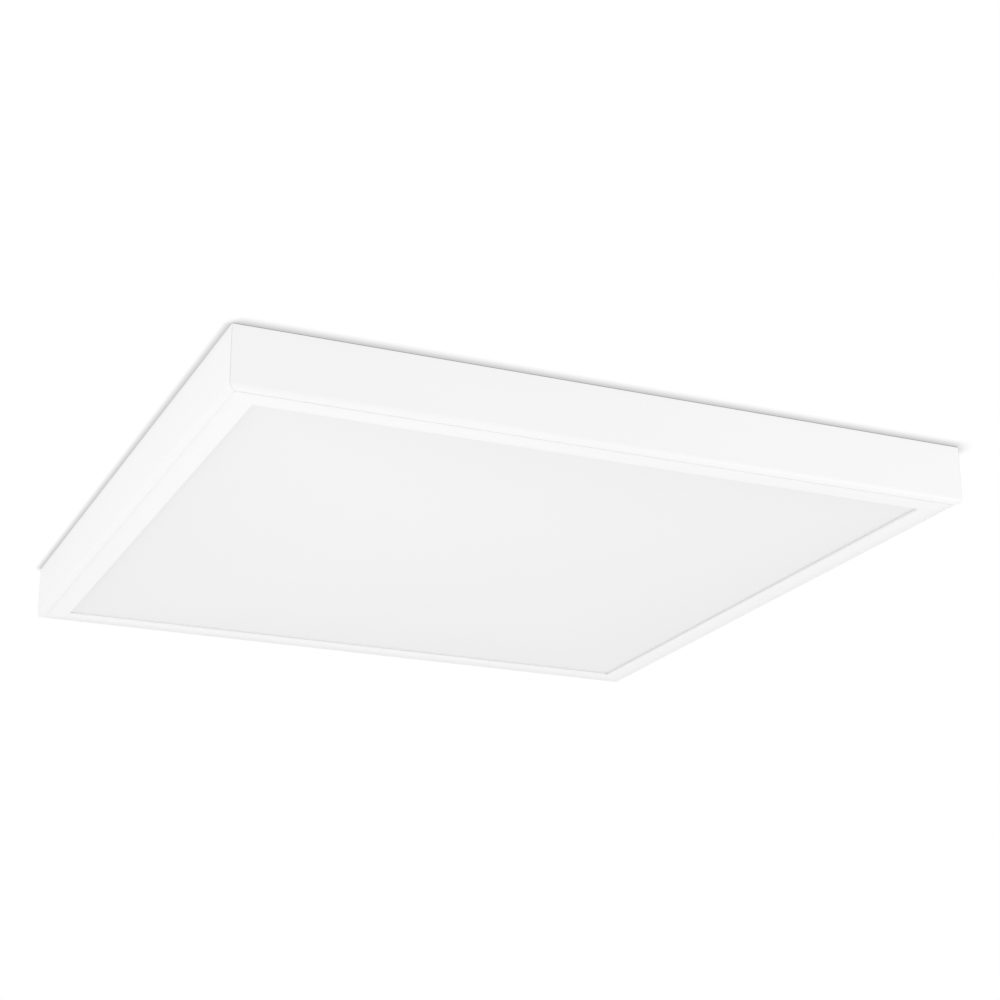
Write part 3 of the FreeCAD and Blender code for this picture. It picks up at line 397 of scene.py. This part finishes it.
# FOAM BACKING
# Soft closed-cell sheet between the film and the back cover. It gives way under the screwed cover and so
# presses the stack onto the lip.
foam = Finish("closed-cell foam", (0.8, 0.8, 0.8), Roughness=0.9)
cells = foam.node("ShaderNodeTexVoronoi", None, {"Vector": foam.place, "Scale": 900.0}, "Distance")
foam.vary("Base Color", foam.mix(cells, (0.6, 0.6, 0.6), (0.85, 0.85, 0.85)))
foam.bump(cells, distance=0.0003)
dress(foam, "foam_backing")

# BACK COVER
# Galvanised steel sheet pressed with a stiffening rib, screwed down round its rim. Zinc crystals leave a
# faint spangle of flat patches, each with its own shine.
spangle = Finish("galvanised sheet", (0.62, 0.64, 0.65), Metallic=0.9)
frond = spangle.node("ShaderNodeTexNoise", None, {"Vector": spangle.place, "Scale": 220.0, "Detail": 3.0},
                     "Color")
jag = 0.009
bent = spangle.node("ShaderNodeVectorMath", {"operation": "MULTIPLY_ADD"},
                    {0: frond, 1: (jag, jag, jag), 2: spangle.place})
crystals = spangle.node("ShaderNodeTexVoronoi", None, {"Vector": bent, "Scale": 120.0}, "Color")
facet = spangle.node("ShaderNodeSeparateColor", None, {0: crystals}, 0)
rolled = spangle.noise(scale=30.0, detail=3.0, vector=spangle.stretched((1.0, 30.0, 1.0)))
spangle.vary("Base Color", spangle.mix(facet, (0.6, 0.62, 0.63), (0.66, 0.68, 0.69)))
spangle.vary("Roughness", 0.36 + 0.07 * facet + 0.06 * rolled)
spangle.bump(rolled, distance=0.00002)
dress(spangle, "back_cover")

# BACK COVER SCREWS
# Eight small zinc-plated pan-head screws, two on each side of the rim. They go through the cover into the
# panel frame.


def cross_screws(name, node, places, seat, head_radius, head_height, shank_radius, shank_length):
    """Pan-head screws with a cross recess, each turned a little further than the last.

    The tip's points are given in shank radii, and the head's in its own radius and height.
    """
    blunt_tip = [(0.0, 0.0), (0.6, 0.9), (1.0, 1.8)]
    pan_head = [(1.0, 0.0), (1.0, 0.35), (0.94, 0.66), (0.8, 0.88), (0.62, 1.0)]
    profile = [(share * shank_radius, rise * shank_radius - shank_length) for share, rise in blunt_tip]
    profile += [(shank_radius, 0.0)]
    profile += [(share * head_radius, rise * head_height) for share, rise in pan_head]
    shape = turned(profile, screw_sides)
    arm, half_slot, recess_depth = 0.5 * head_radius, 0.1 * head_radius, 0.62 * head_height
    recess_taper, further = 0.7, 1.1
    quarter = [(half_slot, arm), (half_slot, half_slot), (arm, half_slot)]
    outline = []
    for _ in range(4):
        outline += quarter
        quarter = [(y, -x) for x, y in quarter]
    sink(shape, outline, recess_depth, recess_taper)
    copies(shape, [Matrix.Translation((x, y, seat)) @ Matrix.Rotation(further * number, 4, "Z")
                   for number, (x, y) in enumerate(places)])
    make_piece(name, shape, zinc, "led_panel", node)


screws_low, screws_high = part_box("back_cover_screws")
head_radius, head_height, shank_radius, shank_length = 0.0024, 0.0014, 0.00125, 0.0044
half_pitch = 0.165
cover_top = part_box("driver_base")[0][2]
middle_x = 0.5 * (screws_low[0] + screws_high[0])
rim_line = screws_high[0] - head_radius - middle_x
rim_places = [spot for side in (-1.0, 1.0) for step in (-1.0, 1.0)
              for spot in ((side * rim_line, middle_y + step * half_pitch),
                           (step * half_pitch, middle_y + side * rim_line))]
cross_screws("cover_screws", "back_cover_screws", rim_places, cover_top,
             head_radius, head_height, shank_radius, shank_length)

# DRIVER HOUSING
# A base and a lid, moulded in white polycarbonate with a fine sparked texture. The base lies flat on the
# back cover, to which it is screwed by an ear at each end. The ears' ends are rounded.
casing = Finish("moulded polycarbonate", (0.86, 0.86, 0.845), Roughness=0.45)
spark = casing.noise(scale=1400.0, detail=3.0)
casing.vary("Roughness", 0.4 + 0.15 * spark)
casing.bump(spark, distance=0.00006)


def level_with(*heights):
    """A test for edges that lie flat at one of the heights."""
    same_height = 0.00002
    return lambda edge: any(all(abs(corner.co.z - height) < same_height for corner in edge.verts)
                            for height in heights)


def at_ear_end(edge):
    """True for the upright edges at the outer corners of the ears."""
    shortest, same_line = 0.002, 0.00002
    first, second = (corner.co for corner in edge.verts)
    return (abs(first.z - second.z) > shortest
            and all(abs(abs(corner.x) - base_high[0]) < same_line for corner in (first, second)))


base_low, base_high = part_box("driver_base")
lid_low, lid_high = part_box("driver_lid")
ear_round, ear_segments, ear_thickness = 0.0035, 5, 0.0025
moulded_edge, base_segments, lid_segments = 0.0005, 2, 3
shape = merged_copy("driver_base")
bmesh.ops.bevel(shape, geom=[edge for edge in shape.edges if at_ear_end(edge)], offset=ear_round,
                offset_type="OFFSET", segments=ear_segments, profile=0.5, affect="EDGES", material=-1)
break_edges(shape, moulded_edge, base_segments, level_with(lid_low[2], base_low[2] + ear_thickness))
make_piece("moulded_base", shape, casing, "led_panel", "driver_base")
shape = merged_copy("driver_lid")
break_edges(shape, moulded_edge, lid_segments, level_with(lid_low[2], lid_high[2]))
make_piece("moulded_lid", shape, casing, "led_panel", "driver_lid")

# DRIVER ELECTRONICS
# A circuit board with green solder mask over its copper tracks lies in the base. It carries a transformer
# wound with yellow tape and capacitors in dark shrink sleeve.
mask_green, darker_green, track_green = (0.03, 0.22, 0.1), (0.025, 0.19, 0.09), (0.06, 0.33, 0.16)
board = Finish("green solder mask", mask_green, Roughness=0.3)
copper = board.node("ShaderNodeTexBrick", {"offset": 0.5}, {
    "Vector": board.place, "Scale": 130.0, "Color1": mask_green, "Color2": darker_green,
    "Mortar": track_green, "Mortar Size": 0.06}, "Color")
board.vary("Base Color", copper)
dress(board, "driver_circuit_board")
tape = Finish("transformer tape", (0.8, 0.62, 0.08), Roughness=0.3)
layers = tape.noise(scale=200.0, vector=tape.stretched((1.0, 1.0, 12.0)))
tape.vary("Base Color", tape.mix(layers, (0.7, 0.5, 0.05), (0.88, 0.7, 0.14)))
dress(tape, "driver_transformer")
sleeve = Finish("shrink sleeve", (0.04, 0.045, 0.07), Roughness=0.3)
shrink = sleeve.noise(scale=300.0)
sleeve.vary("Roughness", 0.25 + 0.15 * shrink)
dress(sleeve, "driver_capacitors")

# TERMINAL BLOCK AND CORD CLAMP
# A grey nylon block takes the mains wires. Behind the inlet, a clamp of the housing's white plastic is
# screwed down over the cord with two zinc-plated screws.
nylon = Finish("grey nylon", (0.16, 0.18, 0.2), Roughness=0.5)
mould = nylon.noise(scale=1200.0)
nylon.bump(mould, distance=0.00005)
dress(nylon, "driver_terminal_block")
dress(casing, "cord_clamp")
dress(zinc, "cord_clamp_screws")

# DRIVER SCREWS
# Zinc-plated pan-head screws: two long ones close the lid at opposite corners, and two short ones hold the
# ears to the back cover.
screws_low, screws_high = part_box("driver_lid_screws")
head_radius, head_height, shank_radius, shank_length = 0.0024, 0.002, 0.0013, 0.015
lid_places = [(screws_low[0] + head_radius, screws_low[1] + head_radius),
              (screws_high[0] - head_radius, screws_high[1] - head_radius)]
cross_screws("lid_screws", "driver_lid_screws", lid_places, screws_high[2] - head_height,
             head_radius, head_height, shank_radius, shank_length)
screws_low, screws_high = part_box("driver_fixing_screws")
head_radius, head_height, shank_radius, shank_length = 0.0029, 0.002, 0.0015, 0.0042
ear_places = [(screws_low[0] + head_radius, screws_high[1] - head_radius),
              (screws_high[0] - head_radius, screws_low[1] + head_radius)]
cross_screws("fixing_screws", "driver_fixing_screws", ear_places, screws_high[2] - head_height,
             head_radius, head_height, shank_radius, shank_length)

# LOW-VOLTAGE LEADS
# Two white PVC jacketed leads carry the low voltage, one from the driver's outlet to the plug and one from
# the socket to the panel. They lie just above the back cover in gentle bends, held by clips.
jacket = Finish("white jacket", (0.85, 0.85, 0.835), Roughness=0.4)
drag = jacket.noise(scale=500.0, detail=3.0)
jacket.vary("Roughness", 0.34 + 0.14 * drag)
jacket.bump(drag, distance=0.00005)
lead_radius = 0.0022
lead_level = 0.5 * (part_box("driver_lead")[0][2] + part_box("driver_lead")[1][2])
driver_end, driver_y = lid_high[0], 0.5 * (lid_low[1] + lid_high[1])
routes = {"driver_lead": [(-0.014, 0.0), (0.029, 0.0), (0.059, -0.005), (0.08, -0.025),
                          (0.085, -0.052), (0.085, -0.075)],
          "panel_lead": [(0.019, -0.22), (0.037, -0.22), (0.061, -0.214), (0.08, -0.194),
                         (0.085, -0.166), (0.085, -0.143)]}
for node, route in routes.items():
    curve = bpy.data.curves.new(node, "CURVE")
    curve.dimensions = "3D"
    curve.bevel_depth = lead_radius
    curve.bevel_resolution = 5
    curve.use_fill_caps = True
    spline = curve.splines.new("NURBS")
    spline.points.add(len(route) - 1)
    for point, (x, y) in zip(spline.points, route):
        point.co = (driver_end + x, driver_y + y, lead_level, 1.0)
    spline.order_u = 3
    spline.use_endpoint_u = True
    spline.resolution_u = 16
    curve.materials.append(jacket.material)
    tube = bpy.data.objects.new(f"jacketed_{node}", curve)
    bpy.context.scene.collection.objects.link(tube)
    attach(tube, "led_panel")
    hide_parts(node)

# PLUG AND SOCKET
# Black moulded push-fit halves that join the two leads end to end. Each has a ribbed strain relief and a
# barrel with grip grooves.
black_moulding = Finish("black moulding", (0.03, 0.03, 0.032), Roughness=0.4)
texture = black_moulding.noise(scale=1300.0, detail=3.0)
black_moulding.vary("Roughness", 0.35 + 0.2 * texture)
black_moulding.bump(texture, distance=0.00005)


def bands(count, first, pitch, radius, other_radius, slope, width):
    """Profile points for a row of bands, where the radius steps to another and back."""
    points = []
    for step in range(count):
        start = first + pitch * step
        points += [(radius, start), (other_radius, start + slope), (other_radius, start + slope + width),
                   (radius, start + 2.0 * slope + width)]
    return points


neck, ridge, barrel, groove = 0.0032, 0.0039, 0.0052, 0.004836
relief_end, barrel_end, end_slope, shoulder_start, shoulder_end = 0.01, 0.034, 0.0005, 0.0094, 0.0108
profile = [(0.0, 0.0), (0.8 * neck, 0.0), (neck, end_slope)]
profile += bands(count=4, first=0.0014, pitch=0.002, radius=neck, other_radius=ridge,
                 slope=0.0003, width=0.0008)
profile += [(neck, shoulder_start), (0.9 * barrel, relief_end), (barrel, shoulder_end)]
profile += bands(count=9, first=0.013, pitch=0.0013, radius=barrel, other_radius=groove,
                 slope=0.0003, width=0.0003)
profile += [(barrel, barrel_end - end_slope), (0.92 * barrel, barrel_end), (0.0, barrel_end)]
moulding_sides = 36
for name, node, turn in (("plug", "dc_plug", 0.5), ("socket", "dc_socket", -0.5)):
    low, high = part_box(node)
    shape = turned(profile, moulding_sides)
    tail = high[1] if turn > 0.0 else low[1]
    bmesh.ops.transform(shape, verts=shape.verts, matrix=Matrix.Translation(
        (0.5 * (low[0] + high[0]), tail, lead_level)) @ Matrix.Rotation(turn * math.pi, 4, "X"))
    bmesh.ops.recalc_face_normals(shape, faces=shape.faces)
    make_piece(name, shape, black_moulding, "led_panel", node)

# LEAD BUSH
# Soft black rubber sleeve through the driver's outlet. Its flange bears on the wall from inside, and its
# nose outside has flexing grooves, so that the lead isn't kinked where it leaves.
rubber = Finish("black rubber", (0.025, 0.025, 0.025), Roughness=0.7)
dust = rubber.noise(scale=150.0, detail=3.0)
rubber.vary("Roughness", 0.6 + 0.25 * dust)
bush_low, bush_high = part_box("driver_lead_bush")
bush_length, bush_sides = bush_high[0] - bush_low[0], 32
bore, sleeve_radius, groove, flange_radius = 0.00225, 0.003, 0.0027, 0.0037
flange, plain_end = 0.0007, 0.0034
profile = [(bore, 0.0), (flange_radius, 0.0), (flange_radius, flange), (sleeve_radius, flange),
           (sleeve_radius, plain_end)]
profile += bands(count=3, first=0.004, pitch=0.0014, radius=sleeve_radius, other_radius=groove,
                 slope=0.0002, width=0.0004)
profile += [(0.86 * sleeve_radius, bush_length), (bore, bush_length), (bore, 0.0)]
shape = turned(profile, bush_sides)
bmesh.ops.transform(shape, verts=shape.verts, matrix=Matrix.Translation(
    (bush_low[0], driver_y, lead_level)) @ Matrix.Rotation(0.5 * math.pi, 4, "Y"))
bmesh.ops.recalc_face_normals(shape, faces=shape.faces)
make_piece("lead_bush", shape, rubber, "led_panel", "driver_lead_bush")

# LEAD GROMMET
# Black rubber grommet whose neck fills a hole in the back cover, where the lead goes into the panel. Its
# top edge is well rounded.
grommet_round, grommet_segments = 0.0012, 4
shape = merged_copy("lead_grommet")
break_edges(shape, grommet_round, grommet_segments, level_with(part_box("lead_grommet")[1][2]))
make_piece("rubber_grommet", shape, rubber, "led_panel", "lead_grommet")

# LEAD CLIPS
# Adhesive clips of natural nylon, each moulded in one piece with its two feet. One holds the lead beside
# the plug and one beside the socket.
natural = Finish("natural nylon", (0.84, 0.83, 0.79), Roughness=0.4)
cloud = natural.noise(scale=60.0)
natural.vary("Base Color", natural.mix(cloud, (0.82, 0.81, 0.76), (0.87, 0.86, 0.82)))
clip_edge, clip_segments, shortest_clip_edge = 0.0005, 2, 0.001
shape = merged_copy("lead_clips")
break_edges(shape, clip_edge, clip_segments, longer_than(shortest_clip_edge))
make_piece("nylon_clips", shape, natural, "led_panel", "lead_clips")

# CEILING
# A plain white ceiling above the light, with a painted shadow where the frame meets it, over a shorter
# reach on its left. It is one-sided, so that the light's upper side can be looked at from above.
half_ceiling, ceiling_gap = 15.0, 0.0004
ceiling = bmesh.new()
bmesh.ops.create_grid(ceiling, x_segments=1, y_segments=1, size=half_ceiling,
                      matrix=Matrix.Translation((0.0, 0.0, ceiling_gap)) @ Matrix.Rotation(math.pi, 4, "X"))
plaster_mesh = bpy.data.meshes.new("ceiling")
ceiling.to_mesh(plaster_mesh)
ceiling.free()
plane = bpy.data.objects.new("ceiling", plaster_mesh)
bpy.context.scene.collection.objects.link(plane)
plane.visible_shadow = False
plane.visible_diffuse = False
plaster = Finish("plain plaster", (1.0, 1.0, 1.0))
sideways, _, _ = plaster.axes()
front_reach, left_reach, front_depth, left_depth = 0.014, 0.0056, 0.86, 0.64
left_face, blend_inside, blend_outside = cad_box[0][0], 0.006, 0.008
on_left = plaster.node("ShaderNodeMapRange", {"interpolation_type": "SMOOTHSTEP"},
                       {"Value": sideways, "From Min": left_face + blend_inside,
                        "From Max": left_face - blend_outside})
openness = plaster.node("ShaderNodeAmbientOcclusion", {"samples": 16, "only_local": False},
                        {"Color": (1.0, 1.0, 1.0),
                         "Distance": front_reach + on_left * (left_reach - front_reach)}, "AO")
# Painted shadow: ambient occlusion near the frame dims the ceiling's white emission.
shade = (1.0 - openness) * (front_depth + on_left * (left_depth - front_depth))
white = plaster.node("ShaderNodeEmission", None, {"Color": (1.0, 1.0, 1.0)})
dark = plaster.node("ShaderNodeEmission", None, {"Color": (0.0, 0.0, 0.0)})
clear = plaster.node("ShaderNodeBsdfTransparent")
behind = plaster.node("ShaderNodeNewGeometry", out="Backfacing")
shaded = plaster.node("ShaderNodeMixShader", None, {0: shade, 1: white, 2: dark})
shown = plaster.node("ShaderNodeMixShader", None, {0: behind, 1: shaded, 2: clear})
plaster.feed(plaster.tree.nodes["Material Output"].inputs["Surface"], shown)
plaster_mesh.materials.append(plaster.material)

# DAYLIGHT
# An even white surround at a plain level, seen as white by the camera and in glossy surfaces. Six soft
# square lamps, five below the light and one above it, give each side its own slight tone.
world = bpy.data.worlds.new("surround")
world.use_nodes = True
bpy.context.scene.world = world
nodes, links = world.node_tree.nodes, world.node_tree.links
path = nodes.new("ShaderNodeLightPath")
seen = nodes.new("ShaderNodeMath")
seen.operation = "MAXIMUM"
links.new(path.outputs["Is Camera Ray"], seen.inputs[0])
links.new(path.outputs["Is Glossy Ray"], seen.inputs[1])
level_on_light, level_seen = 0.861, 1.0
level = nodes.new("ShaderNodeMapRange")
level.inputs["To Min"].default_value = level_on_light
level.inputs["To Max"].default_value = level_seen
links.new(seen.outputs[0], level.inputs["Value"])
links.new(level.outputs["Result"], nodes["Background"].inputs["Strength"])
nodes["Background"].inputs["Color"].default_value = (1.0, 1.0, 1.0, 1.0)


def soft_lamp(name, place, towards, size, power):
    """A square lamp that shines at a point and isn't seen itself."""
    lamp = bpy.data.lights.new(name, "AREA")
    lamp.shape = "SQUARE"
    lamp.size = size
    lamp.energy = power
    holder = bpy.data.objects.new(name, lamp)
    holder.location = place
    holder.rotation_mode = "QUATERNION"
    holder.rotation_quaternion = (Vector(towards) - Vector(place)).to_track_quat("-Z", "Y")
    holder.visible_camera = False
    bpy.context.scene.collection.objects.link(holder)


soft_lamp("right lamp", (2.2, -2.2, -1.6), (0.0, 0.0, -0.05), size=1.5, power=11.8)
soft_lamp("front lamp", (1.0, -1.5, -0.5), (0.1, -0.2, -0.03), size=0.6, power=1.43)
soft_lamp("left lamp", (-1.3, -0.1, -0.35), (-0.3, -0.1, -0.03), size=0.4, power=1.51)
soft_lamp("near lamp", (-0.35, -0.45, -0.9), (-0.15, -0.15, -0.05), size=0.5, power=0.51)
soft_lamp("far lamp", (0.6, 2.4, -2.0), (0.0, 0.0, -0.05), size=1.5, power=2.6)
soft_lamp("upper lamp", (0.0, 0.0, 2.6), (0.0, 0.0, 0.0), size=1.6, power=5.0)

# CAMERA
# It looks up at the light from below, past its nearest corner. Its place, its tilt and its lens put the
# light's straight edges where the photograph has them.
view = bpy.data.cameras.new("camera")
view.lens = 76.426
view.sensor_width = 36.0
view.clip_start = 0.05
view.clip_end = 100.0
camera = bpy.data.objects.new("camera", view)
camera.location = (-0.680001, -1.607389, -0.612775)
camera.rotation_euler = [math.radians(turn) for turn in (109.70105, 0.222384, -23.898967)]
bpy.context.scene.collection.objects.link(camera)
bpy.context.scene.camera = camera
bpy.context.scene.view_settings.view_transform = "Standard"
